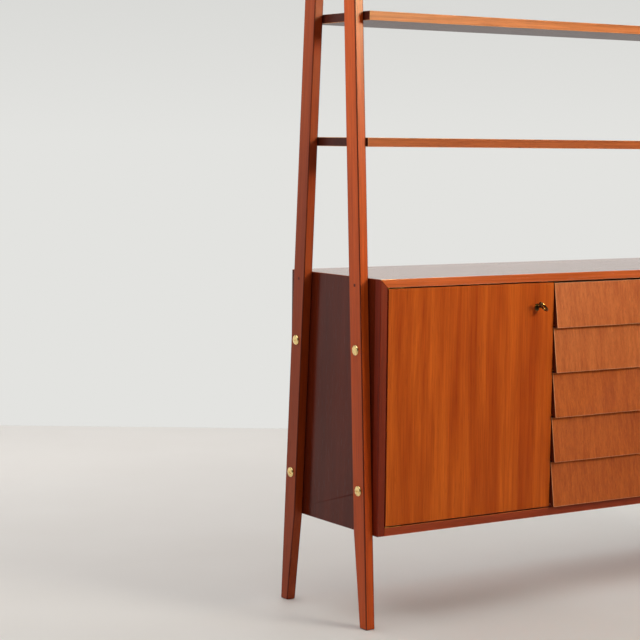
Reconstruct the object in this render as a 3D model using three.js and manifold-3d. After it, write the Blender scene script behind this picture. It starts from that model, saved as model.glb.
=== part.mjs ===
// A free-standing ladder shelf in veneered boards and solid wood, in millimetres, +Z up, front facing -Y.
// Two leaning pairs of posts carry a cabinet and three shelves. The cabinet holds two hinged doors with
// rim locks and a stack of five drawers whose slanted fronts lap like louvres.
// Drawing coordinates: x = 0 on the cabinet's left face, y = 0 on its front edges, z = 0 on the floor.
import * as THREE from "three";
import { mergeVertices } from "three/addons/utils/BufferGeometryUtils.js";
import Module from "manifold-3d";

// Driving dimensions
const CABINET_WIDTH = 1386;
const CABINET_DEPTH = 348;
const CABINET_BOTTOM = 201;
const CABINET_TOP = 751;
const BOARD = 18;
const JOINT_GAP = 0.3;

const POST_THICKNESS = 22;
const POST_WIDTH = 42;
const POST_FOOT_WIDTH = 26;
const POST_HEIGHT = 1650;
const POST_LEAN = 0.056;
const FOOT_FRONT = 4;
const FOOT_BACK = 348;

const SHELF_TOPS = [1048, 1313, 1578];
const SHELF_THICKNESS = 19.5;
const SHELF_FRONT = 54.5;
const SHELF_DEPTH = 221;
const DOWEL_RADIUS = 4;
const DOWEL_LENGTH = 13;

const DOOR_WIDTH = 454;
const DOOR_SIDE_GAP = 2;
const DOOR_END_GAP = 2.5;
const INNER_SHELF_Z = 470;
const INNER_SHELF_THICKNESS = 16;

const DRAWER_COUNT = 5;
const DRAWER_PITCH = 101.6;
const DRAWER_FRONT_HEIGHT = 100.8;
const DRAWER_LIP = 14;
const DRAWER_LIP_THICKNESS = 7;
const GRIP_DEPTH = 7;
const DRAWER_TOP_GAP = 3.9;
const DRAWER_GAP = 2;
const DRAWER_BOX_HEIGHT = 70;
const DRAWER_BOX_BACK = 326;
const DRAWER_WALL = 10;
const RUNNER_THICKNESS = 5;
const RUNNER_DEPTH = 6;

const BACK_THICKNESS = 6;
const BACK_INSET = 5;

const BOLT_HEAD_RADIUS = 11.5;
const BOLT_HEAD_HEIGHT = 4.5;
const BOLT_SHANK_RADIUS = 4;
const BOLT_LEVELS = [296, 597];
const BOLT_IN_SIDE = 13;
const BOLT_SIDES = 36;
const BOLT_SLOT_WIDTH = 1.6;
const BOLT_SLOT_DEPTH = 1.5;
const BOLT_SLOT_ANGLES = [8, 27, -14, 3];
const HOLE_CLEARANCE = 0.3;
const PLUG_RADIUS = 3.5;
const PLUG_LEVEL = 735;
const PLUG_LENGTH = 8;

const PIVOT_INSET = 4.2;
const PIVOT_RADIUS = 1.5;
const LEAF_LENGTH = 44;
const LEAF_DEPTH = 12;
const LEAF_THICKNESS = 2;

const KEY_FROM_EDGE = 49;
const KEY_LEVEL = 679;
const KEY_SHAFT_RADIUS = 2.2;
const KEY_BOW_CENTRE = -23.5;
const KEY_BOW_LENGTH = 29;
const KEY_BOW_WIDTH = 18;
const KEY_BOW_RIM = 4;
const KEY_THICKNESS = 3.2;
const KEY_REST_ANGLE = THREE.MathUtils.degToRad(-45);
const KEY_END = 27;
const RING_RADIUS = 5.5;
const RING_DROP = 5.5;
const RING_THICKNESS = 1.2;
const KEYHOLE_RADIUS = 3;
const KEYHOLE_SLOT = 6.8;
const KEYHOLE_SLOT_WIDTH = 2.6;
const LOCK_HOLE_RADIUS = 4.3;
const LOCK_CAVITY_RADIUS = 8;
const LOCK_THICKNESS = 14;
const LOCK_LEFT = 27;
const LOCK_BELOW = 22;
const LOCK_ABOVE = 26;
const LOCK_THROW = 12;

// Places that follow from them
const INNER_TOP = CABINET_TOP - BOARD;
const INNER_BOTTOM = CABINET_BOTTOM + BOARD;
const INNER_RIGHT = CABINET_WIDTH - BOARD;
const DOOR_BACK = BOARD;
const DIVIDER_FRONT = DOOR_BACK + 2.5;
const BACK_FRONT = CABINET_DEPTH - BACK_INSET - BACK_THICKNESS;
const DOOR_RIGHT = BOARD + DOOR_SIDE_GAP + DOOR_WIDTH;
const DIVIDER_LEFT = DOOR_RIGHT - 8;
const DIVIDER_RIGHT = DIVIDER_LEFT + BOARD;
const MIDDLE = CABINET_WIDTH / 2;
const MODEL_FRONT = KEY_BOW_CENTRE - KEY_BOW_WIDTH / 2;
const MODEL_MIDDLE_DEPTH = (MODEL_FRONT + FOOT_BACK) / 2;

const wasm = await Module();
wasm.setup();

const FINISHES = {
  frame_wood: { color: 0xa85a2c, roughness: 0.5, metalness: 0 },
  carcass_wood: { color: 0x8c4322, roughness: 0.5, metalness: 0 },
  door_wood: { color: 0xb8632b, roughness: 0.45, metalness: 0 },
  drawer_wood: { color: 0xc4773f, roughness: 0.45, metalness: 0 },
  inner_wood: { color: 0xc9a06c, roughness: 0.7, metalness: 0 },
  brass: { color: 0xd8b25a, roughness: 0.25, metalness: 1 },
  dark_brass: { color: 0x5c4a2a, roughness: 0.4, metalness: 1 },
  steel: { color: 0x8f9092, roughness: 0.4, metalness: 1 },
};

const unit = new THREE.Group();
unit.position.set(-MIDDLE, -MODEL_MIDDLE_DEPTH, 0);

// A closed geometry as a manifold solid.
function solid(geometry) {
  const bare = geometry.clone();
  bare.deleteAttribute("normal");
  bare.deleteAttribute("uv");
  const merged = mergeVertices(bare, 1e-4);
  return new wasm.Manifold(
    new wasm.Mesh({
      numProp: 3,
      vertProperties: new Float32Array(merged.attributes.position.array),
      triVerts: new Uint32Array(merged.index.array),
    }),
  );
}

function geometryOf(body) {
  const mesh = body.getMesh();
  const geometry = new THREE.BufferGeometry();
  geometry.setAttribute("position", new THREE.BufferAttribute(mesh.vertProperties, 3));
  geometry.setIndex(new THREE.BufferAttribute(mesh.triVerts, 1));
  geometry.computeVertexNormals();
  return geometry;
}

function add(name, finish, body) {
  const mesh = new THREE.Mesh(geometryOf(body), new THREE.MeshStandardMaterial(FINISHES[finish]));
  mesh.name = name;
  unit.add(mesh);
}

// A box between two corners.
function block(x0, x1, y0, y1, z0, z1) {
  const geometry = new THREE.BoxGeometry(x1 - x0, y1 - y0, z1 - z0);
  geometry.translate((x0 + x1) / 2, (y0 + y1) / 2, (z0 + z1) / 2);
  return solid(geometry);
}

// An outline in Y and Z, extruded along X.
function prismAlongX(outline, x0, x1) {
  const shape = new THREE.Shape(outline.map(([y, z]) => new THREE.Vector2(y, z)));
  const geometry = new THREE.ExtrudeGeometry(shape, { depth: x1 - x0, bevelEnabled: false });
  geometry.rotateX(Math.PI / 2);
  geometry.rotateZ(Math.PI / 2);
  geometry.translate(x0, 0, 0);
  return solid(geometry);
}

// An outline in X and Z, extruded along Y.
function prismAlongY(outline, y0, y1) {
  const shape = new THREE.Shape(outline.map(([x, z]) => new THREE.Vector2(x, z)));
  const geometry = new THREE.ExtrudeGeometry(shape, { depth: y1 - y0, bevelEnabled: false });
  geometry.rotateX(Math.PI / 2);
  geometry.translate(0, y1, 0);
  return solid(geometry);
}

// A round rod along an axis, from a to b on that axis, centred on the other two coordinates.
function rod(axis, radius, a, b, place, sides = 12) {
  const geometry = new THREE.CylinderGeometry(radius, radius, b - a, sides);
  if (axis === "x") geometry.rotateZ(Math.PI / 2);
  if (axis === "z") geometry.rotateX(Math.PI / 2);
  const centre = (a + b) / 2;
  const [p, q] = place;
  if (axis === "x") geometry.translate(centre, p, q);
  if (axis === "y") geometry.translate(p, centre, q);
  if (axis === "z") geometry.translate(p, q, centre);
  return solid(geometry);
}

// The same body seen in the mirror plane down the middle of the unit.
function mirrored(body) {
  const geometry = geometryOf(body);
  geometry.translate(-MIDDLE, 0, 0);
  geometry.scale(-1, 1, 1);
  geometry.translate(MIDDLE, 0, 0);
  const index = geometry.index.array;
  for (let i = 0; i < index.length; i += 3) {
    [index[i + 1], index[i + 2]] = [index[i + 2], index[i + 1]];
  }
  return solid(geometry);
}

// Adds a body on the left and its mirror image on the right.
function addPair(name, finish, body) {
  add(name + "_left", finish, body);
  add(name + "_right", finish, mirrored(body));
}

// The outer face of a front or back post at a height, and the middle of the post there.
function postOuter(end, z) {
  return end === "front" ? FOOT_FRONT + POST_LEAN * z : FOOT_BACK - POST_LEAN * z;
}

function postMiddle(end, z) {
  return postOuter(end, z) + (end === "front" ? 1 : -1) * (POST_WIDTH / 2);
}

// Posts: straight on their outer edge, tapering on the inner edge below the cabinet.
function buildPosts() {
  const inward = { front: 1, back: -1 };
  for (const end of ["front", "back"]) {
    const side = inward[end];
    const outer = (z) => postOuter(end, z);
    const outline = [
      [outer(0), 0],
      [outer(0) + side * POST_FOOT_WIDTH, 0],
      [outer(CABINET_BOTTOM) + side * POST_WIDTH, CABINET_BOTTOM],
      [outer(POST_HEIGHT) + side * POST_WIDTH, POST_HEIGHT],
      [outer(POST_HEIGHT), POST_HEIGHT],
    ];
    if (side < 0) outline.reverse();
    let post = prismAlongX(outline, -POST_THICKNESS - JOINT_GAP, -JOINT_GAP);
    for (const z of BOLT_LEVELS) {
      const hole = [postMiddle(end, z), z];
      post = post.subtract(rod("x", BOLT_SHANK_RADIUS + HOLE_CLEARANCE, -POST_THICKNESS - 1, 1, hole));
    }
    for (const top of SHELF_TOPS) {
      const z = top - SHELF_THICKNESS / 2;
      const hole = [postMiddle(end, z), z];
      const radius = DOWEL_RADIUS + HOLE_CLEARANCE;
      post = post.subtract(rod("x", radius, -DOWEL_LENGTH - 1, 1, hole));
    }
    const plug = [postMiddle(end, PLUG_LEVEL), PLUG_LEVEL];
    const outerFace = -POST_THICKNESS - JOINT_GAP;
    const bore = rod("x", PLUG_RADIUS + HOLE_CLEARANCE, outerFace - 1, outerFace + PLUG_LENGTH + 0.3, plug);
    post = post.subtract(bore);
    addPair(`post_${end}`, "frame_wood", post);
    addPair(`plug_${end}`, "frame_wood", rod("x", PLUG_RADIUS, outerFace, outerFace + PLUG_LENGTH, plug));
  }
}

// Brass bolts with a low domed head, slotted right across, through the post into the cabinet side.
// Each was driven home at its own angle.
function buildBolts() {
  const headProfile = [new THREE.Vector2(0, BOLT_HEAD_HEIGHT)];
  for (let i = 1; i <= 6; i++) {
    const angle = (i / 6) * (Math.PI / 2);
    headProfile.push(
      new THREE.Vector2(BOLT_HEAD_RADIUS * Math.sin(angle), 0.8 + (BOLT_HEAD_HEIGHT - 0.8) * Math.cos(angle)),
    );
  }
  const profile = [
    ...headProfile,
    new THREE.Vector2(BOLT_HEAD_RADIUS, 0),
    new THREE.Vector2(BOLT_SHANK_RADIUS, 0),
    new THREE.Vector2(BOLT_SHANK_RADIUS, -POST_THICKNESS - BOLT_IN_SIDE),
    new THREE.Vector2(0, -POST_THICKNESS - BOLT_IN_SIDE),
  ].reverse();
  const slotReach = BOLT_HEAD_RADIUS + 1;
  const slotFloor = -BOLT_HEAD_HEIGHT + BOLT_SLOT_DEPTH;
  const halfSlot = BOLT_SLOT_WIDTH / 2;
  BOLT_LEVELS.forEach((z, level) => {
    ["front", "back"].forEach((end, index) => {
      const geometry = new THREE.LatheGeometry(profile, BOLT_SIDES);
      geometry.rotateZ(Math.PI / 2);
      const slot = block(-BOLT_HEAD_HEIGHT - 1, slotFloor, -slotReach, slotReach, -halfSlot, halfSlot);
      const moved = geometryOf(solid(geometry).subtract(slot));
      moved.rotateX(THREE.MathUtils.degToRad(BOLT_SLOT_ANGLES[2 * level + index]));
      moved.translate(-POST_THICKNESS - 2 * JOINT_GAP, postMiddle(end, z), z);
      addPair(`bolt_${end}_${level ? "upper" : "lower"}`, "brass", solid(moved));
    });
  });
}

// Shelves: plain boards between the frames, with dowels in both ends that sit in the posts.
function buildShelves() {
  SHELF_TOPS.forEach((top, level) => {
    const z = top - SHELF_THICKNESS / 2;
    let shelf = block(
      JOINT_GAP,
      CABINET_WIDTH - JOINT_GAP,
      SHELF_FRONT,
      SHELF_FRONT + SHELF_DEPTH,
      top - SHELF_THICKNESS,
      top,
    );
    for (const end of ["front", "back"]) {
      const dowel = rod("x", DOWEL_RADIUS, -DOWEL_LENGTH, 20, [postMiddle(end, z), z]);
      shelf = shelf.add(dowel).add(mirrored(dowel));
    }
    add(`shelf_${["lower", "middle", "upper"][level]}`, "frame_wood", shelf);
  });
}

// A pocket for one hinge leaf, a little larger than the leaf, reaching from z0 to z1.
function leafPocket(z0, z1) {
  const x = BOARD + DOOR_SIDE_GAP;
  return block(x + 0.3, x + 0.9 + LEAF_LENGTH, 0.9, 1.5 + LEAF_DEPTH, z0, z1);
}

// Carcass: top mitred to the sides, bottom butted between them, dividers and back let in.
function buildCarcass() {
  const depth = CABINET_DEPTH;
  const pocket = LEAF_THICKNESS + JOINT_GAP;
  const gap = JOINT_GAP;
  let top = prismAlongY(
    [
      [gap, CABINET_TOP],
      [BOARD + gap, INNER_TOP],
      [INNER_RIGHT - gap, INNER_TOP],
      [CABINET_WIDTH - gap, CABINET_TOP],
    ],
    0,
    depth,
  );
  const topPocket = leafPocket(INNER_TOP - 1, INNER_TOP + pocket);
  top = top.subtract(topPocket).subtract(mirrored(topPocket));
  add("cabinet_top", "carcass_wood", top);

  let bottom = block(BOARD + gap, INNER_RIGHT - gap, 0, depth, CABINET_BOTTOM, INNER_BOTTOM);
  const bottomPocket = leafPocket(INNER_BOTTOM - pocket, INNER_BOTTOM + 1);
  bottom = bottom.subtract(bottomPocket).subtract(mirrored(bottomPocket));
  add("cabinet_bottom", "carcass_wood", bottom);

  let side = prismAlongY(
    [
      [0, CABINET_TOP - gap],
      [0, CABINET_BOTTOM],
      [BOARD, CABINET_BOTTOM],
      [BOARD, INNER_TOP - gap],
    ],
    0,
    depth,
  );
  for (const z of BOLT_LEVELS) {
    for (const end of ["front", "back"]) {
      const radius = BOLT_SHANK_RADIUS + HOLE_CLEARANCE;
      side = side.subtract(rod("x", radius, -1, BOLT_IN_SIDE + 0.5, [postMiddle(end, z), z]));
    }
  }
  side = side.subtract(innerShelfGroove(BOARD - 4, BOARD + 1));
  addPair("cabinet_side", "carcass_wood", side);

  const inside = [INNER_BOTTOM + gap, INNER_TOP - gap];
  let divider = block(DIVIDER_LEFT, DIVIDER_RIGHT, DIVIDER_FRONT, BACK_FRONT - gap, ...inside);
  divider = divider.subtract(innerShelfGroove(DIVIDER_LEFT - 1, DIVIDER_LEFT + 4));
  for (let i = 0; i < DRAWER_COUNT; i++) {
    const z = runnerBottom(i);
    const x = DIVIDER_RIGHT - RUNNER_DEPTH;
    const groove = block(x, DIVIDER_RIGHT + 1, 0, DRAWER_BOX_BACK + 2, z - 0.5, z + RUNNER_THICKNESS + 0.5);
    divider = divider.subtract(groove);
  }
  const mortiseEnd = DIVIDER_LEFT + LOCK_THROW - 4;
  const mortise = block(DIVIDER_LEFT - 1, mortiseEnd, ...lockBoltY(0.6), ...lockBoltZ(1));
  divider = divider.subtract(mortise);
  addPair("divider", "inner_wood", divider);

  const back = block(BOARD + gap, INNER_RIGHT - gap, BACK_FRONT, depth - BACK_INSET, ...inside);
  add("back_panel", "inner_wood", back);
}

// The groove that holds one end of an inner shelf.
function innerShelfGroove(x0, x1) {
  const z0 = INNER_SHELF_Z - JOINT_GAP;
  const z1 = INNER_SHELF_Z + INNER_SHELF_THICKNESS + JOINT_GAP;
  return block(x0, x1, DIVIDER_FRONT + 1, BACK_FRONT - 1, z0, z1);
}

function buildInnerShelves() {
  const shelf = block(
    BOARD - 3.7,
    DIVIDER_LEFT + 3.7,
    DIVIDER_FRONT + 2,
    BACK_FRONT - 2,
    INNER_SHELF_Z,
    INNER_SHELF_Z + INNER_SHELF_THICKNESS,
  );
  addPair("inner_shelf", "inner_wood", shelf);
}

// The lock's bolt lies above the key, behind the door.
function lockBoltY(slack) {
  return [DOOR_BACK + 6 - slack, DOOR_BACK + 11 + slack];
}

function lockBoltZ(slack) {
  return [KEY_LEVEL + 9 - slack, KEY_LEVEL + 19 + slack];
}

// The slot below a keyhole that lets the key's bit through, as deep as y1.
function keyholeSlot(keyX, y1, slack) {
  const half = KEYHOLE_SLOT_WIDTH / 2 + slack;
  return block(keyX - half, keyX + half, -3, y1, KEY_LEVEL - KEYHOLE_SLOT - slack, KEY_LEVEL);
}

// Doors: flat boards with pockets for the hinge leaves and a keyhole.
function buildDoors() {
  const x0 = BOARD + DOOR_SIDE_GAP;
  const z0 = INNER_BOTTOM + DOOR_END_GAP;
  const z1 = INNER_TOP - DOOR_END_GAP;
  const pocket = LEAF_THICKNESS + JOINT_GAP;
  const keyX = DOOR_RIGHT - KEY_FROM_EDGE;
  let door = block(x0, DOOR_RIGHT, 0, DOOR_BACK, z0, z1);
  door = door.subtract(leafPocket(z1 - pocket, z1 + 1)).subtract(leafPocket(z0 - 1, z0 + pocket));
  door = door.subtract(rod("y", LOCK_HOLE_RADIUS, -1, DOOR_BACK + 1, [keyX, KEY_LEVEL]));
  door = door.subtract(keyholeSlot(keyX, DOOR_BACK + 1, 0.3));
  addPair("door", "door_wood", door);

  const pivot = [x0 + PIVOT_INSET, PIVOT_INSET];
  const leafBlock = (a, b) => block(x0 + 0.6, x0 + 0.6 + LEAF_LENGTH, 1.2, 1.2 + LEAF_DEPTH, a, b);
  const doorLeaf = (a, b) => leafBlock(a, b).subtract(rod("z", PIVOT_RADIUS + 0.3, a - 1, b + 1, pivot));
  const frameLeaf = (a, b, pinA, pinB) => leafBlock(a, b).add(rod("z", PIVOT_RADIUS, pinA, pinB, pivot));
  const reach = DOOR_END_GAP + LEAF_THICKNESS;
  addPair("door_leaf_top", "brass", doorLeaf(z1 - LEAF_THICKNESS, z1));
  addPair("door_leaf_bottom", "brass", doorLeaf(z0, z0 + LEAF_THICKNESS));
  addPair(
    "frame_leaf_top",
    "brass",
    frameLeaf(INNER_TOP, INNER_TOP + LEAF_THICKNESS, INNER_TOP - reach, INNER_TOP + 1),
  );
  addPair(
    "frame_leaf_bottom",
    "brass",
    frameLeaf(INNER_BOTTOM - LEAF_THICKNESS, INNER_BOTTOM, INNER_BOTTOM - 1, INNER_BOTTOM + reach),
  );
}

// Rim lock: case on the back of the door, sliding bolt, keyhole plate, and the key that stays in it.
function buildLocks() {
  const keyX = DOOR_RIGHT - KEY_FROM_EDGE;
  const caseRight = DIVIDER_LEFT - 6;
  const back = DOOR_BACK + JOINT_GAP;
  const boltLeft = keyX - 12;
  const keyAxis = [keyX, KEY_LEVEL];
  let lock = block(
    keyX - LOCK_LEFT,
    caseRight,
    back,
    back + LOCK_THICKNESS,
    KEY_LEVEL - LOCK_BELOW,
    KEY_LEVEL + LOCK_ABOVE,
  );
  lock = lock.subtract(block(boltLeft - 3, caseRight + 1, ...lockBoltY(0.4), ...lockBoltZ(0.4)));
  lock = lock.subtract(rod("y", LOCK_HOLE_RADIUS, back - 1, back + 4, keyAxis));
  lock = lock.subtract(rod("y", LOCK_CAVITY_RADIUS, back + 3, back + LOCK_THICKNESS - 3, keyAxis, 24));
  addPair("lock_case", "steel", lock);

  const bolt = block(boltLeft, caseRight + 0.5, ...lockBoltY(0), ...lockBoltZ(0));
  addPair("lock_bolt", "brass", bolt);

  const ring = prismAlongY(keyholePlate(keyX), -JOINT_GAP - RING_THICKNESS, -JOINT_GAP)
    .add(rod("y", KEYHOLE_RADIUS + 1, -JOINT_GAP - 0.5, 10, keyAxis, 36))
    .subtract(rod("y", KEYHOLE_RADIUS, -3, 12, keyAxis, 36))
    .subtract(keyholeSlot(keyX, 12, 0));
  addPair("keyhole_ring", "dark_brass", ring);
  addPair("key", "dark_brass", keyBody(keyX));
}

// The outline of the plate round a keyhole: two half rounds joined by straight sides.
function keyholePlate(keyX) {
  const steps = 14;
  const outline = [];
  for (const [start, z] of [
    [0, KEY_LEVEL],
    [Math.PI, KEY_LEVEL - RING_DROP],
  ]) {
    for (let i = 0; i <= steps; i++) {
      const angle = start + (i / steps) * Math.PI;
      outline.push([keyX + RING_RADIUS * Math.cos(angle), z + RING_RADIUS * Math.sin(angle)]);
    }
  }
  return outline;
}

// The key: stem, small bit inside the lock, and a long open oval bow.
function keyBody(keyX) {
  const oval = (length, width) => {
    const outline = new THREE.Shape();
    outline.absellipse(0, 0, length / 2, width / 2, 0, 2 * Math.PI);
    const geometry = new THREE.ExtrudeGeometry(outline, {
      depth: KEY_THICKNESS,
      bevelEnabled: false,
      curveSegments: 16,
    });
    geometry.translate(0, KEY_BOW_CENTRE, -KEY_THICKNESS / 2);
    return solid(geometry);
  };
  const inner = geometryOf(oval(KEY_BOW_LENGTH - 2 * KEY_BOW_RIM, KEY_BOW_WIDTH - 2 * KEY_BOW_RIM));
  inner.scale(1, 1, 1.5);
  const stemStart = KEY_BOW_CENTRE + KEY_BOW_WIDTH / 2 - 1;
  const key = oval(KEY_BOW_LENGTH, KEY_BOW_WIDTH)
    .subtract(solid(inner))
    .add(rod("y", KEY_SHAFT_RADIUS, stemStart, KEY_END, [0, 0], 16))
    .add(rod("y", KEY_SHAFT_RADIUS + 1.3, stemStart + 1, stemStart + 4, [0, 0], 16))
    .add(block(-6.5, 0, KEY_END - 4.5, KEY_END - 1, -1, 1));
  const turned = geometryOf(key);
  turned.rotateY(-KEY_REST_ANGLE);
  turned.translate(keyX, 0, KEY_LEVEL);
  return solid(turned);
}

// The lowest point of a drawer front, and of its bottom panel, which is also its runner.
function frontBottom(i) {
  return INNER_TOP - DRAWER_TOP_GAP - i * DRAWER_PITCH - DRAWER_FRONT_HEIGHT;
}

function runnerBottom(i) {
  return frontBottom(i) + 9;
}

// Drawers: a wedge-shaped front with a finger groove below, and an open box with tongues on its bottom.
function buildDrawers() {
  const x0 = DOOR_RIGHT + DRAWER_GAP;
  const x1 = CABINET_WIDTH - x0;
  const boxLeft = DIVIDER_RIGHT + 1.5;
  const boxRight = CABINET_WIDTH - boxLeft;
  const boxFront = DOOR_BACK + JOINT_GAP;
  for (let i = 0; i < DRAWER_COUNT; i++) {
    const z0 = frontBottom(i);
    const front = prismAlongX(
      [
        [-DRAWER_LIP, z0],
        [-DRAWER_LIP + DRAWER_LIP_THICKNESS, z0],
        [-DRAWER_LIP + DRAWER_LIP_THICKNESS + 5, z0 + GRIP_DEPTH],
        [DOOR_BACK - 8, z0 + GRIP_DEPTH],
        [DOOR_BACK - 5, z0 + 2],
        [DOOR_BACK, z0 + 2],
        [DOOR_BACK, z0 + DRAWER_FRONT_HEIGHT],
        [0, z0 + DRAWER_FRONT_HEIGHT],
      ],
      x0,
      x1,
    );
    add(`drawer_${i + 1}_front`, "drawer_wood", front);

    const z = runnerBottom(i);
    const tongue = RUNNER_DEPTH - 1;
    const inside = block(
      boxLeft + DRAWER_WALL,
      boxRight - DRAWER_WALL,
      boxFront + DRAWER_WALL,
      DRAWER_BOX_BACK - DRAWER_WALL,
      z + RUNNER_THICKNESS,
      z + DRAWER_BOX_HEIGHT + 1,
    );
    const box = block(boxLeft, boxRight, boxFront, DRAWER_BOX_BACK, z, z + DRAWER_BOX_HEIGHT)
      .subtract(inside)
      .add(
        block(
          DIVIDER_RIGHT - tongue,
          CABINET_WIDTH - DIVIDER_RIGHT + tongue,
          DIVIDER_FRONT + 1,
          DRAWER_BOX_BACK,
          z,
          z + RUNNER_THICKNESS,
        ),
      );
    add(`drawer_${i + 1}_box`, "inner_wood", box);
  }
}

buildPosts();
buildBolts();
buildShelves();
buildCarcass();
buildInnerShelves();
buildDoors();
buildLocks();
buildDrawers();

const group = new THREE.Group();
group.add(unit);
export default group;
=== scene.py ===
"""Looks for the ladder shelf: woods, brass, edges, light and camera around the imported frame."""

import math
from itertools import count

import bpy
from mathutils import Matrix, Vector


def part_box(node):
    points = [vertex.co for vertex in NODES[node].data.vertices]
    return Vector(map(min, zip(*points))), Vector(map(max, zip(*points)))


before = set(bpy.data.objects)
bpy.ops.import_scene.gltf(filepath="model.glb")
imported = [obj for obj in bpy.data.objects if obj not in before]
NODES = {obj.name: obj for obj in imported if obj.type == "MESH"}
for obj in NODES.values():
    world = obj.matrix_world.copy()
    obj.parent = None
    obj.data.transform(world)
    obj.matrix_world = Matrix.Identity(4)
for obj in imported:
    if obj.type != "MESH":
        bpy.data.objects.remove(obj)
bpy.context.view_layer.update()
MM = 0.001

# Words that the piece names are made of.
SIDES = ("left", "right")
ENDS = ("front", "back")
BOLT_LEVELS = ("lower", "upper")
SHELF_LEVELS = ("lower", "middle", "upper")
HINGE_ENDS = ("top", "bottom")
DRAWERS = range(1, 6)
# The fronts from the top that take the paler tone.
PALE_DRAWERS = (1, 2)

# The cabinet's front left bottom corner is where the camera is placed from.
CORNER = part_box("cabinet_side_left")[0]

# Camera: a long lens from the front left, a little above the cabinet.
CAMERA_OFFSET = Vector((-2.28255, -3.24319, 0.84172))
CAMERA_YAW = math.radians(33.299)
CAMERA_PITCH = math.radians(-5.452)
CAMERA_ROLL = math.radians(0.647)
CAMERA_LENS = 106.39
SENSOR_WIDTH = 36
CLIP_END = 60

# The floor is square to the camera's heading: this far behind the object, before it and to each side.
FLOOR_BEHIND = 2.3
FLOOR_BEFORE = 6.0
FLOOR_ASIDE = 5.0
FLOOR_CLOUD_SCALE = (3, 3, 3)

# The room as world strengths: all round, from the left wall, from the back wall low and high, from the ceiling.
ROOM_LIGHT = 0.02
LEFT_WALL_LIGHT = 0.055
BACK_WALL_LIGHT = (0.78, 0.2)
CEILING_LIGHT = 1.12

# Edges: an angle above SHARP is rounded, one below SHALLOW is part of a round, one below FLAT is dissolved.
SHARP = math.radians(50)
SHALLOW = math.radians(32)
FLAT = math.radians(0.5)
WELD_DISTANCE = 1e-6
BEVEL_SEGMENTS = 3

# Grain: cycles per metre across the fibres, twice, and along them.
WANDER_SCALE = (4, 4, 1)
RIBBON_SCALE = (26, 26, 2.2)
STREAK_SCALE = (150, 150, 1.4)
FIBRE_SCALE = (620, 620, 9)
PORE_SCALE = (1100, 1100, 26)
WANDER = 6 * MM
# Brightness of the darkest and the palest fibres, and how much the pores darken and roughen.
FIBRE_SHADES = (0.8, 1.16)
PORE_COVER = 0.35
PORE_ROUGHNESS = 0.15
# How far the grain moves from one seed to the next, along X, Y and Z.
SEED_STEP = (0.37, 0.53, 0.71)

# The solid strip along a cabinet side's front edge, and how much rougher its polish is.
LIPPING_WIDTH = 20 * MM
LIPPING_ROUGHNESS = 0.35

# Metal: cycles per metre along X, Y and Z, and how much tarnish roughens.
TARNISH_SCALE = (160, 160, 160)
SCRATCH_SCALE = (900, 240, 2600)
TARNISH_ROUGHNESS = 0.18

# How far roughness falls below its mean and rises above it.
ROUGHNESS_UNDER = 0.05
ROUGHNESS_OVER = 0.07

# A face shows a cut tone from the first of these cosines to the cut's axis, and fully from the second.
FACING_FADE = (0.6, 0.8)

# Turns that bring a piece's grain onto the texture's Z axis.
ALONG_X = (0, math.pi / 2, 0)
ALONG_Y = (math.pi / 2, 0, 0)
ALONG_Z = (0, 0, 0)
LEAN = math.atan(0.056)

# Each wood: the light and dark of its ribbons, and its pores. Colours are 0 to 255.
WOODS = {
    "front_post": ((210, 88, 28), (170, 61, 12), (90, 28, 8)),
    "back_post": ((170, 70, 24), (136, 48, 12), (72, 22, 6)),
    # Painted shade: a darker line along the posts' rounded arrises, where less light reaches.
    "post_arris": ((116, 42, 16), (88, 28, 8), (50, 14, 4)),
    "shelf": ((208, 124, 66), (160, 80, 34), (92, 40, 16)),
    "lower_shelf": ((184, 98, 50), (136, 60, 24), (80, 32, 12)),
    # Paler roundings: partly wear, partly a painted highlight where the edge catches the light.
    "shelf_arris_sheen_and_wear": ((224, 160, 106), (196, 122, 72), (130, 70, 38)),
    # Painted shade: a dark tone on the shelves' undersides, which face down away from the light.
    "shelf_under_shade": ((84, 40, 24), (62, 27, 16), (42, 16, 9)),
    "end_grain": ((82, 32, 20), (54, 17, 9), (30, 8, 5)),
    "side": ((100, 32, 13), (74, 21, 7), (40, 10, 4)),
    "lipping": ((136, 38, 9), (96, 23, 4), (56, 13, 3)),
    "rail": ((224, 112, 54), (174, 74, 29), (104, 39, 14)),
    # Paler roundings: partly wear, partly a painted highlight where the edge catches the light.
    "rail_arris_sheen_and_wear": ((228, 142, 98), (198, 106, 66), (120, 60, 36)),
    # Paler and greyer than the wood: partly a painted reflection of the pale wall that the top mirrors at a
    # grazing angle.
    "top": ((164, 122, 102), (136, 98, 80), (92, 60, 46)),
    # Darker than the rail: partly the wood, partly painted shade on the lower edge under the drawers' lips and
    # on faces that look down.
    "sill_tone_and_shade": ((166, 64, 26), (118, 40, 13), (62, 19, 6)),
    "door": ((209, 101, 27), (155, 56, 6), (98, 31, 3)),
    "door_arris": ((120, 48, 18), (94, 34, 11), (60, 20, 6)),
    "drawer": ((203, 110, 52), (160, 70, 22), (114, 45, 13)),
    "lower_drawer": ((199, 101, 38), (156, 64, 15), (111, 41, 9)),
    # Paler roundings: partly wear, partly a painted highlight where the edges catch the light.
    "drawer_arris_sheen_and_wear": ((232, 164, 118), (206, 134, 88), (150, 88, 54)),
    # Painted shade: a dark tone on the fronts' ends, tops and undersides, in the gaps and under each lip.
    "drawer_side_shade": ((96, 30, 12), (72, 20, 7), (40, 11, 4)),
    "inner": ((150, 92, 52), (122, 70, 36), (84, 46, 22)),
    "plug": ((108, 38, 16), (82, 26, 10), (46, 14, 6)),
}


def srgb(red, green, blue):
    """A display colour from 0 to 255 as a linear RGBA colour."""
    def linear(value):
        value /= 255
        return value / 12.92 if value <= 0.04045 else ((value + 0.055) / 1.055) ** 2.4
    return (linear(red), linear(green), linear(blue), 1.0)


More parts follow.
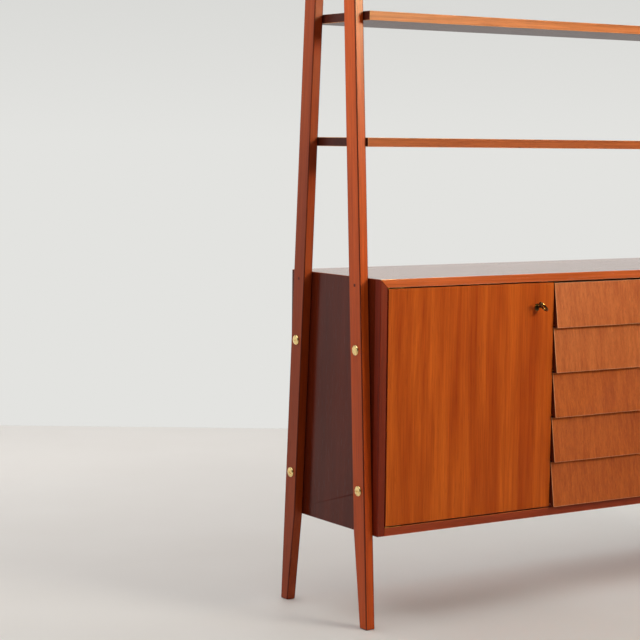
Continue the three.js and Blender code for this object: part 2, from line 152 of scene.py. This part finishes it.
class Graph:
    """A short way to write a node tree."""

    # Where a colour Mix node keeps its sockets.
    MIX_FACTOR, MIX_A, MIX_B, MIX_RESULT = 0, 6, 7, 2

    def __init__(self, tree):
        self.tree = tree
        tree.nodes.clear()

    def add(self, kind, **values):
        node = self.tree.nodes.new(kind)
        for key, value in values.items():
            setattr(node, key, value)
        return node

    def link(self, source, target):
        self.tree.links.new(source, target)

    def feed(self, target, value):
        if isinstance(value, bpy.types.NodeSocket):
            self.link(value, target)
        else:
            target.default_value = value

    def object_place(self):
        return self.add("ShaderNodeTexCoord").outputs["Object"]

    def place(self, offset=(0, 0, 0), turn=(0, 0, 0)):
        """Object coordinates, turned and then moved."""
        mapping = self.add("ShaderNodeMapping")
        self.link(self.object_place(), mapping.inputs["Vector"])
        mapping.inputs["Location"].default_value = offset
        mapping.inputs["Rotation"].default_value = turn
        return mapping.outputs["Vector"]

    def noise(self, vector, scale, detail=2.0, roughness=0.5):
        """Noise whose scale is cycles per metre along each axis."""
        mapping = self.add("ShaderNodeMapping")
        self.link(vector, mapping.inputs["Vector"])
        mapping.inputs["Scale"].default_value = scale
        node = self.add("ShaderNodeTexNoise")
        self.link(mapping.outputs["Vector"], node.inputs["Vector"])
        node.inputs["Scale"].default_value = 1.0
        node.inputs["Detail"].default_value = detail
        node.inputs["Roughness"].default_value = roughness
        return node.outputs["Fac"]

    def math(self, operation, a, b=0.0):
        node = self.add("ShaderNodeMath", operation=operation)
        self.feed(node.inputs[0], a)
        self.feed(node.inputs[1], b)
        return node.outputs[0]

    def plus_part(self, value, extra, share):
        """Value plus a share of another value."""
        return self.math("ADD", value, self.math("MULTIPLY", extra, share))

    def span(self, value, low, high, to_low=0.0, to_high=1.0):
        """Value rescaled from low..high, clamped."""
        node = self.add("ShaderNodeMapRange")
        self.feed(node.inputs["Value"], value)
        node.inputs["From Min"].default_value = low
        node.inputs["From Max"].default_value = high
        node.inputs["To Min"].default_value = to_low
        node.inputs["To Max"].default_value = to_high
        return node.outputs["Result"]

    def roughness(self, value, low, high, mean):
        """Roughness near a mean that follows a value from low to high."""
        return self.span(value, low, high, mean - ROUGHNESS_UNDER, mean + ROUGHNESS_OVER)

    def mix(self, factor, a, b, blend="MIX"):
        node = self.add("ShaderNodeMix", data_type="RGBA", blend_type=blend)
        self.feed(node.inputs[self.MIX_FACTOR], factor)
        self.feed(node.inputs[self.MIX_A], a)
        self.feed(node.inputs[self.MIX_B], b)
        return node.outputs[self.MIX_RESULT]

    def grey(self, value):
        node = self.add("ShaderNodeCombineColor")
        for channel in ("Red", "Green", "Blue"):
            self.link(value, node.inputs[channel])
        return node.outputs["Color"]

    def component(self, vector, axis):
        node = self.add("ShaderNodeSeparateXYZ")
        self.link(vector, node.inputs["Vector"])
        return node.outputs[axis]

    def facing(self, axis, sign):
        """1 on faces that look along an axis: sign 1 or -1 for one way, 0 for both."""
        value = self.component(self.add("ShaderNodeTexCoord").outputs["Normal"], axis)
        value = self.math("MULTIPLY", value, sign) if sign else self.math("ABSOLUTE", value)
        return self.span(value, *FACING_FADE)

    def bump(self, shader, height, strength, distance):
        node = self.add("ShaderNodeBump")
        node.inputs["Strength"].default_value = strength
        node.inputs["Distance"].default_value = distance
        self.link(height, node.inputs["Height"])
        self.link(node.outputs["Normal"], shader.inputs["Normal"])


def new_material(name):
    """A material with one Principled shader, its graph, and that shader."""
    material = bpy.data.materials.new(name)
    material.use_nodes = True
    graph = Graph(material.node_tree)
    shader = graph.add("ShaderNodeBsdfPrincipled")
    out = graph.add("ShaderNodeOutputMaterial")
    graph.link(shader.outputs["BSDF"], out.inputs["Surface"])
    return material, graph, shader


def wandering(graph, vector):
    """Coordinates that sway slowly to either side, so that the grain isn't ruler-straight."""
    wander = graph.noise(vector, WANDER_SCALE, detail=1.0)
    swing = graph.add("ShaderNodeCombineXYZ")
    graph.link(graph.span(wander, 0.3, 0.7, -WANDER, WANDER), swing.inputs["X"])
    graph.link(graph.span(wander, 0.3, 0.7, WANDER, -WANDER), swing.inputs["Y"])
    shift = graph.add("ShaderNodeVectorMath", operation="ADD")
    graph.link(swing.outputs["Vector"], shift.inputs[0])
    graph.link(vector, shift.inputs[1])
    return shift.outputs["Vector"]


def wood_colour(graph, grain, tone):
    """The colour of one wood from the shared grain values."""
    light, dark, pore = (srgb(*colour) for colour in WOODS[tone])
    colour = graph.mix(grain["tone"], dark, light)
    colour = graph.mix(1.0, colour, graph.grey(grain["shade"]), "MULTIPLY")
    return graph.mix(grain["pore_cover"], colour, pore)


def wood(name, tone, turn, offset, ribbon, gloss, specular, cuts=(), lipped=None):
    """Fine straight-grained wood: broad ribbons, narrow streaks, fibres and short dark pores.

    Ribbon is the ribbons' share of the figure, and gloss the mean roughness.
    Each cut is (axis, sign, tone): faces that look that way show another tone, such as end grain, or painted
    shade on undersides and drawer ends.
    In front of the Y named by lipped the piece is a strip of solid wood with a softer polish.
    """
    material, graph, shader = new_material(name)
    vector = wandering(graph, graph.place(offset, turn))
    ribbons = graph.span(graph.noise(vector, RIBBON_SCALE, roughness=0.6), 0.32, 0.68)
    streaks = graph.span(graph.noise(vector, STREAK_SCALE, detail=3.0, roughness=0.7), 0.28, 0.72)
    fibres = graph.noise(vector, FIBRE_SCALE, roughness=0.6)
    pores = graph.span(graph.noise(vector, PORE_SCALE, detail=1.0), 0.6, 0.74)
    grain = {
        "tone": graph.plus_part(graph.math("MULTIPLY", ribbons, ribbon), streaks, 1 - ribbon),
        "shade": graph.span(fibres, 0.25, 0.75, *FIBRE_SHADES),
        "pore_cover": graph.math("MULTIPLY", pores, PORE_COVER),
    }
    colour = wood_colour(graph, grain, tone)
    roughness = graph.plus_part(graph.roughness(fibres, 0.2, 0.8, gloss), pores, PORE_ROUGHNESS)
    for axis, sign, cut_tone in cuts:
        colour = graph.mix(graph.facing(axis, sign), colour, wood_colour(graph, grain, cut_tone))
    if lipped is not None:
        strip = graph.math("LESS_THAN", graph.component(graph.object_place(), "Y"), lipped)
        colour = graph.mix(strip, colour, wood_colour(graph, grain, "lipping"))
        roughness = graph.plus_part(roughness, strip, LIPPING_ROUGHNESS)
    graph.link(colour, shader.inputs["Base Color"])
    graph.link(roughness, shader.inputs["Roughness"])
    shader.inputs["IOR"].default_value = 1.5
    shader.inputs["Specular IOR Level"].default_value = specular
    height = graph.math("SUBTRACT", graph.math("MULTIPLY", fibres, 0.5), pores)
    graph.bump(shader, height, 0.3, 0.1 * MM)
    return material


def metal(name, light, dark, roughness, wear):
    """Turned or cast metal with fine scratches and a cloudy dark tarnish; wear is the most it covers."""
    material, graph, shader = new_material(name)
    vector = graph.place()
    cloud = graph.noise(vector, TARNISH_SCALE, detail=4.0, roughness=0.65)
    scratch = graph.noise(vector, SCRATCH_SCALE)
    tarnish = graph.span(cloud, 0.42, 0.68, 0.0, wear)
    graph.link(graph.mix(tarnish, srgb(*light), srgb(*dark)), shader.inputs["Base Color"])
    shader.inputs["Metallic"].default_value = 1.0
    rough = graph.plus_part(graph.roughness(scratch, 0.3, 0.7, roughness), tarnish, TARNISH_ROUGHNESS)
    graph.link(rough, shader.inputs["Roughness"])
    graph.bump(shader, scratch, 0.12, 0.04 * MM)
    return material


def geometry_group(name):
    """A modifier's node group, its graph, the geometry it is given and the socket that takes its result."""
    group = bpy.data.node_groups.new(name, "GeometryNodeTree")
    for direction in ("INPUT", "OUTPUT"):
        group.interface.new_socket("Geometry", in_out=direction, socket_type="NodeSocketGeometry")
    graph = Graph(group)
    source = graph.add("NodeGroupInput")
    result = graph.add("NodeGroupOutput")
    return group, graph, source.outputs["Geometry"], result.inputs["Geometry"]


def long_arrises(name, shortest):
    """A node group that gives bevel weight to a piece's long sharp edges, and none to its holes."""
    group, graph, geometry, result = geometry_group(name)
    ends = graph.add("GeometryNodeInputMeshEdgeVertices")
    length = graph.add("ShaderNodeVectorMath", operation="DISTANCE")
    graph.link(ends.outputs["Position 1"], length.inputs[0])
    graph.link(ends.outputs["Position 2"], length.inputs[1])
    angle = graph.add("GeometryNodeInputMeshEdgeAngle")
    is_long = graph.math("GREATER_THAN", length.outputs["Value"], shortest)
    is_sharp = graph.math("GREATER_THAN", angle.outputs["Unsigned Angle"], SHARP)
    store = graph.add("GeometryNodeStoreNamedAttribute", data_type="FLOAT", domain="EDGE")
    store.inputs["Name"].default_value = "bevel_weight_edge"
    graph.link(graph.math("MULTIPLY", is_long, is_sharp), store.inputs["Value"])
    graph.link(geometry, store.inputs["Geometry"])
    graph.link(store.outputs["Geometry"], result)
    return group


def smooth_rounds():
    """A node group that shades smoothly across a round piece's shallow facets."""
    group, graph, geometry, result = geometry_group("smooth_rounds")
    angle = graph.add("GeometryNodeInputMeshEdgeAngle")
    shallow = graph.add("FunctionNodeCompare", data_type="FLOAT", operation="LESS_THAN")
    graph.link(angle.outputs["Unsigned Angle"], shallow.inputs[0])
    shallow.inputs[1].default_value = SHALLOW
    faces = graph.add("GeometryNodeSetShadeSmooth", domain="FACE")
    edges = graph.add("GeometryNodeSetShadeSmooth", domain="EDGE")
    graph.link(geometry, faces.inputs["Geometry"])
    graph.link(faces.outputs["Geometry"], edges.inputs["Geometry"])
    graph.link(shallow.outputs["Result"], edges.inputs["Shade Smooth"])
    graph.link(edges.outputs["Geometry"], result)
    return group


# Boards with pockets and grooves in them round only their long edges.
LONG_ARRISES = long_arrises("long_arrises", 14 * MM)
BOARD_ARRISES = long_arrises("board_arrises", 60 * MM)
SMOOTH_ROUNDS = smooth_rounds()


def dress(node, width, materials, arrises=None, smooth=None, flat=True):
    """Gives a CAD node its materials and rounds its edges to a width; the last material goes on the rounding.

    Arrises is the node group that picks the edges; without it every sharp edge is rounded.
    Flat joins the triangles of each flat face first; pieces with many small recesses go without.
    """
    piece = NODES[node]
    piece.data.materials.clear()
    for material in materials:
        piece.data.materials.append(material)
    for polygon in piece.data.polygons:
        polygon.material_index = 0
    weld = piece.modifiers.new("weld", "WELD")
    weld.merge_threshold = WELD_DISTANCE
    if flat:
        dissolve = piece.modifiers.new("flat", "DECIMATE")
        dissolve.decimate_type = "DISSOLVE"
        dissolve.angle_limit = FLAT
    if arrises:
        piece.modifiers.new("long_arrises", "NODES").node_group = arrises
    bevel = piece.modifiers.new("arris", "BEVEL")
    bevel.width = width
    bevel.segments = BEVEL_SEGMENTS
    bevel.limit_method = "WEIGHT" if arrises else "ANGLE"
    bevel.angle_limit = SHARP
    bevel.material = len(materials) - 1
    if smooth:
        piece.modifiers.new("smooth_rounds", "NODES").node_group = smooth


def wooden(node, tone, turn, arris, seed, edge_tone=None, edge_cuts=(), ribbon=0.5, gloss=0.45, specular=0.2,
           cuts=(), lipped=None, arrises=LONG_ARRISES, flat=True):
    """Dresses a node in wood; the seed moves the grain so that no two pieces match."""
    offset = [step * seed for step in SEED_STEP]
    look = {"turn": turn, "offset": offset, "ribbon": ribbon, "gloss": gloss, "specular": specular}
    materials = [wood(f"{node}_face", tone, **look, cuts=cuts, lipped=lipped)]
    if edge_tone:
        materials.append(wood(f"{node}_arris", edge_tone, **look, cuts=edge_cuts))
    dress(node, arris, materials, arrises, flat=flat)


def dress_frame(seeds):
    for side in SIDES:
        for end in ENDS:
            turn = (LEAN if end == "front" else -LEAN, 0, 0)
            # The posts' roundings take a darker tone as painted shade.
            wooden(f"post_{end}_{side}", f"{end}_post", turn, 2.2 * MM, next(seeds), "post_arris",
                   gloss=0.35, specular=0.18)
            wooden(f"plug_{end}_{side}", "plug", ALONG_X, 0.3 * MM, next(seeds))
    for level in SHELF_LEVELS:
        tone = "lower_shelf" if level == "lower" else "shelf"
        # Shelves: paler roundings are partly wear, partly painted highlight; undersides take a dark tone as
        # painted shade.
        wooden(f"shelf_{level}", tone, ALONG_X, 0.9 * MM, next(seeds), "shelf_arris_sheen_and_wear",
               ribbon=0.4, gloss=0.34, specular=0.16, cuts=[("X", 0, "end_grain"), ("Z", -1, "shelf_under_shade")])


def dress_cabinet(seeds):
    for side in SIDES:
        wooden(f"cabinet_side_{side}", "side", ALONG_Z, 1.2 * MM, next(seeds), "lipping",
               gloss=0.17, lipped=CORNER[1] + LIPPING_WIDTH)
        wooden(f"divider_{side}", "inner", ALONG_Y, 0.3 * MM, next(seeds),
               gloss=0.5, arrises=BOARD_ARRISES, flat=False)
        wooden(f"inner_shelf_{side}", "inner", ALONG_X, 0.8 * MM, next(seeds), gloss=0.5)
        wooden(f"door_{side}", "door", ALONG_Z, 0.8 * MM, next(seeds), "door_arris",
               ribbon=0.66, gloss=0.42, specular=0.1, cuts=[("X", 0, "lipping"), ("Z", 0, "lipping")],
               arrises=BOARD_ARRISES)
    # The top: its face tone is partly a painted reflection, its roundings partly a painted highlight, its
    # underside painted shade.
    wooden("cabinet_top", "top", ALONG_X, 0.9 * MM, next(seeds), "rail_arris_sheen_and_wear",
           gloss=0.15, specular=1.0, cuts=[("Y", 0, "rail"), ("Z", -1, "sill_tone_and_shade")], arrises=BOARD_ARRISES)
    # The bottom board's darker tone is partly painted shade under the drawers' lips.
    wooden("cabinet_bottom", "sill_tone_and_shade", ALONG_X, 0.9 * MM, next(seeds), "rail",
           gloss=0.4, arrises=BOARD_ARRISES)
    wooden("back_panel", "inner", ALONG_X, 0.4 * MM, next(seeds), gloss=0.5)
    for number in DRAWERS:
        tone = "drawer" if number in PALE_DRAWERS else "lower_drawer"
        # Drawer fronts: paler roundings are partly painted highlight, partly wear; ends, tops, undersides and
        # upper roundings take a dark tone as painted shade.
        wooden(f"drawer_{number}_front", tone, ALONG_Z, 1.0 * MM, next(seeds), "drawer_arris_sheen_and_wear",
               [("Z", 1, "drawer_side_shade")], ribbon=0.35, gloss=0.4, specular=0.3,
               cuts=[("X", 0, "drawer_side_shade"), ("Z", 0, "drawer_side_shade")])
        wooden(f"drawer_{number}_box", "inner", ALONG_X, 0.8 * MM, next(seeds), gloss=0.55)


def dress_hardware():
    brass = metal("polished_brass", (255, 228, 160), (206, 156, 84), roughness=0.16, wear=0.6)
    hinge_brass = metal("hinge_brass", (222, 184, 112), (160, 120, 64), roughness=0.32, wear=0.5)
    aged_brass = metal("aged_brass", (120, 97, 60), (24, 18, 11), roughness=0.18, wear=1.0)
    steel = metal("lock_steel", (176, 176, 178), (120, 118, 114), roughness=0.4, wear=0.5)
    for side in SIDES:
        for end in HINGE_ENDS:
            dress(f"door_leaf_{end}_{side}", 0.25 * MM, [hinge_brass], flat=False)
            dress(f"frame_leaf_{end}_{side}", 0.25 * MM, [hinge_brass], flat=False)
        dress(f"lock_case_{side}", 0.8 * MM, [steel])
        dress(f"lock_bolt_{side}", 0.5 * MM, [hinge_brass])
        dress(f"keyhole_ring_{side}", 0.3 * MM, [aged_brass], smooth=SMOOTH_ROUNDS, flat=False)
        dress(f"key_{side}", 0.6 * MM, [aged_brass], smooth=SMOOTH_ROUNDS)
        for end in ENDS:
            for level in BOLT_LEVELS:
                dress(f"bolt_{end}_{level}_{side}", 0.25 * MM, [brass], smooth=SMOOTH_ROUNDS)


def build_stage():
    """A pale floor square to the camera's heading; past its edge the backdrop is the world itself."""
    corners = [
        (-FLOOR_ASIDE, -FLOOR_BEFORE, 0),
        (FLOOR_ASIDE, -FLOOR_BEFORE, 0),
        (FLOOR_ASIDE, FLOOR_BEHIND, 0),
        (-FLOOR_ASIDE, FLOOR_BEHIND, 0),
    ]
    mesh = bpy.data.meshes.new("floor")
    mesh.from_pydata(corners, [], [(0, 1, 2, 3)])
    floor = bpy.data.objects.new("floor", mesh)
    bpy.context.scene.collection.objects.link(floor)
    floor.rotation_euler = (0, 0, -CAMERA_YAW)
    material, graph, shader = new_material("floor_paint")
    cloud = graph.noise(graph.place(), FLOOR_CLOUD_SCALE, detail=3.0)
    graph.link(graph.mix(cloud, srgb(224, 222, 219), srgb(230, 229, 227)), shader.inputs["Base Color"])
    shader.inputs["Roughness"].default_value = 0.6
    mesh.materials.append(material)


def build_world():
    """A room lit from its left, from above and from the wall behind; the camera sees a plain pale backdrop."""
    world = bpy.data.worlds.new("studio")
    world.use_nodes = True
    graph = Graph(world.node_tree)
    heading = graph.add("ShaderNodeTexCoord").outputs["Generated"]
    along_x, along_y, along_z = (graph.component(heading, axis) for axis in "XYZ")
    left = graph.span(along_x, -0.3, -0.9, 0.0, LEFT_WALL_LIGHT)
    back_light = graph.span(along_z, 0.3, 0.5, *BACK_WALL_LIGHT)
    back = graph.math("MULTIPLY", graph.span(along_y, -0.1, 0.35), back_light)
    above = graph.span(along_z, 0.55, 0.85, 0.0, CEILING_LIGHT)
    brightest = graph.math("MAXIMUM", graph.math("MAXIMUM", left, back), above)
    lit = graph.add("ShaderNodeBackground")
    lit.inputs["Color"].default_value = (1.0, 0.97, 0.94, 1.0)
    graph.link(graph.math("ADD", brightest, ROOM_LIGHT), lit.inputs["Strength"])
    seen = graph.add("ShaderNodeBackground")
    rise = graph.span(along_z, 0.0, 0.09)
    graph.link(graph.mix(rise, srgb(227, 227, 224), srgb(216, 216, 213)), seen.inputs["Color"])
    path = graph.add("ShaderNodeLightPath")
    choice = graph.add("ShaderNodeMixShader")
    graph.link(path.outputs["Is Camera Ray"], choice.inputs[0])
    graph.link(lit.outputs[0], choice.inputs[1])
    graph.link(seen.outputs[0], choice.inputs[2])
    out = graph.add("ShaderNodeOutputWorld")
    graph.link(choice.outputs[0], out.inputs["Surface"])
    bpy.context.scene.world = world


def area_light(name, place, target, size, power, colour, spread=180, diffuse=True, glossy=True):
    """A rectangular light at a place, aimed at a target; the camera doesn't see it."""
    data = bpy.data.lights.new(name, "AREA")
    data.shape = "RECTANGLE"
    data.size, data.size_y = size
    data.energy = power
    data.color = colour
    data.spread = math.radians(spread)
    light = bpy.data.objects.new(name, data)
    bpy.context.scene.collection.objects.link(light)
    light.location = place
    aim = Vector(target) - Vector(place)
    light.rotation_euler = aim.to_track_quat("-Z", "Y").to_euler()
    light.visible_camera = False
    light.visible_diffuse = diffuse
    light.visible_glossy = glossy


def build_lights():
    """Soft windows in front and on the left, a warm lamp seen only as sheen, and light for the floor."""
    area_light("window", (1.15, -3.0, 2.0), target=(-0.4, 0, 1.35), size=(1.6, 0.55),
               power=14.6, colour=(1.0, 0.95, 0.86), spread=60, glossy=False)
    area_light("lamp", (0.35, -1.7, 1.95), target=(-0.4, 0, 1.2), size=(0.45, 0.5),
               power=106, colour=(1.0, 0.83, 0.42), diffuse=False)
    area_light("left_window", (-2.0, 0.25, 2.3), target=(-0.7, 0.05, 1.55), size=(1.2, 0.8),
               power=3.9, colour=(0.84, 1.0, 1.0), spread=58)
    area_light("wall_wash", (-0.8, 2.2, 2.2), target=(-0.8, 2.2, 0), size=(3.5, 1.0),
               power=22, colour=(1.0, 0.98, 0.95), glossy=False)
    area_light("bounce", (0.3, -0.1, 0.195), target=(0.3, -0.3, 0.0), size=(1.0, 0.15),
               power=0.5, colour=(1.0, 0.97, 0.93), glossy=False)


def build_camera():
    data = bpy.data.cameras.new("camera")
    data.sensor_width = SENSOR_WIDTH
    data.lens = CAMERA_LENS
    data.clip_end = CLIP_END
    camera = bpy.data.objects.new("camera", data)
    bpy.context.scene.collection.objects.link(camera)
    forward = Vector((
        math.sin(CAMERA_YAW) * math.cos(CAMERA_PITCH),
        math.cos(CAMERA_YAW) * math.cos(CAMERA_PITCH),
        math.sin(CAMERA_PITCH),
    ))
    level = Vector((math.cos(CAMERA_YAW), -math.sin(CAMERA_YAW), 0))
    upright = level.cross(forward)
    right = math.cos(CAMERA_ROLL) * level + math.sin(CAMERA_ROLL) * upright
    up = -math.sin(CAMERA_ROLL) * level + math.cos(CAMERA_ROLL) * upright
    turn = Matrix((right, up, -forward)).transposed().to_4x4()
    camera.matrix_world = Matrix.Translation(CORNER + CAMERA_OFFSET) @ turn
    bpy.context.scene.camera = camera


build_camera()
seeds = count(1)
dress_frame(seeds)
dress_cabinet(seeds)
dress_hardware()
build_stage()
build_world()
build_lights()
bpy.context.scene.view_settings.view_transform = "Standard"
